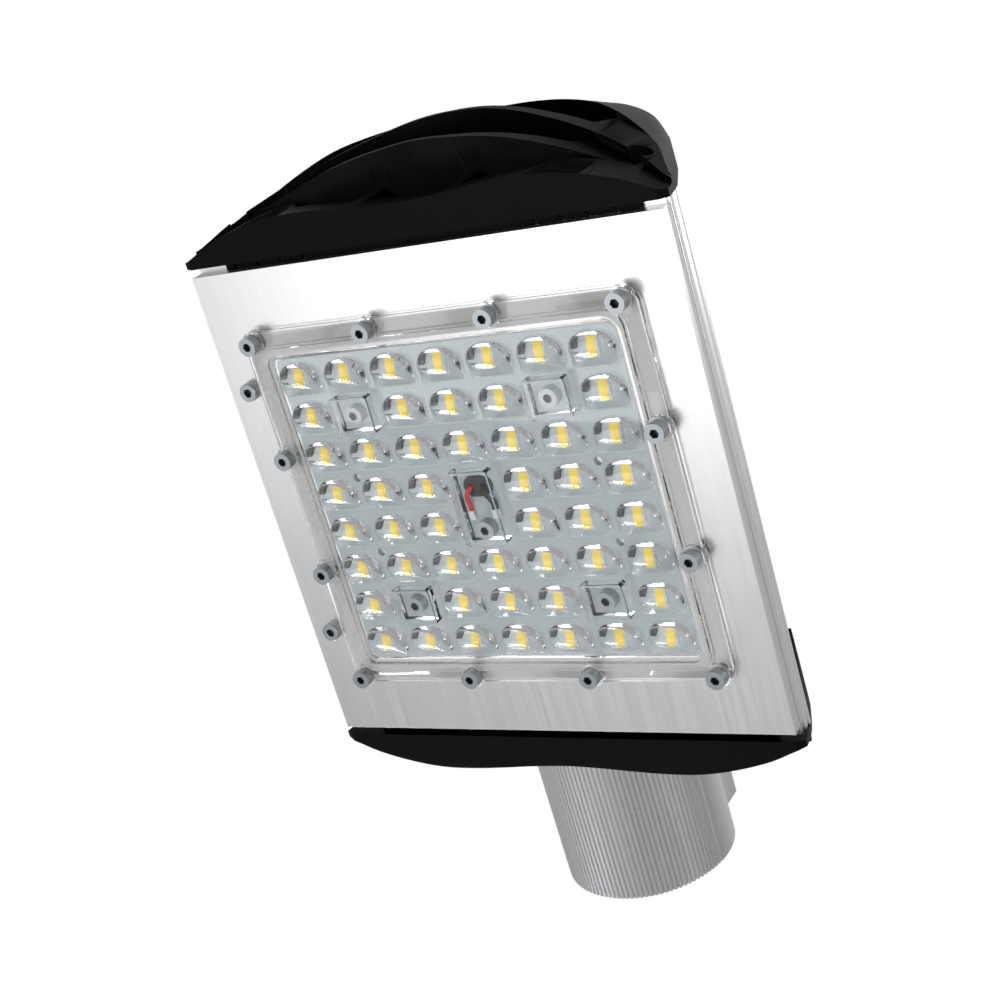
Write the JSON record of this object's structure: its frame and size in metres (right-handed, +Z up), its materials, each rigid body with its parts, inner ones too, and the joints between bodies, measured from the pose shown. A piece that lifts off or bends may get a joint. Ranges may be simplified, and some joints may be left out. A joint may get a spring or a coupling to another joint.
{
  "type": "street_light",
  "caption": "LED street light with a finned aluminium housing, black wave-shaped end caps, a clear lens plate and a ribbed socket for the pole arm",
  "frame": {"origin": "centre of the mouth of the pole socket", "axes": "+Y runs along the pole socket towards the nose of the lamp, +Z points up to the sky with the lenses facing down, +X is to the right seen from the pole"},
  "size_m": [0.1956, 0.302, 0.0905],
  "materials": {
    "extruded_aluminium": "brushed",
    "black_plastic": "matte",
    "zinc_steel": "satin",
    "clear_lens": "gloss",
    "board_lacquer": "satin",
    "led_phosphor": "matte",
    "silicone": "matte",
    "red_insulation": "gloss",
    "black_insulation": "satin",
    "solder": "gloss",
    "driver_case": "satin",
    "terminal_plastic": "matte"
  },
  "bodies": {
    "root": {"housing_profile": "extruded_aluminium", "nose_cap": "black_plastic", "rear_cap": "black_plastic", "nose_cap_screws": "zinc_steel", "rear_cap_screws": "zinc_steel", "led_board": "board_lacquer", "led_packages": "led_phosphor", "board_screws": "zinc_steel", "lens_gasket": "silicone", "lens_plate": "clear_lens", "lens_screws": "zinc_steel", "side_screws": "zinc_steel", "wire_grommet": "black_insulation", "red_lead": "red_insulation", "black_lead": "black_insulation", "solder_joints": "solder", "driver": "driver_case", "driver_screws": "zinc_steel", "terminal_block": "terminal_plastic", "terminal_screws": "zinc_steel", "mains_lead": "black_insulation", "pole_socket": "extruded_aluminium", "socket_screws": "zinc_steel", "clamp_bolts": "zinc_steel"}
  },
  "joints": []
}
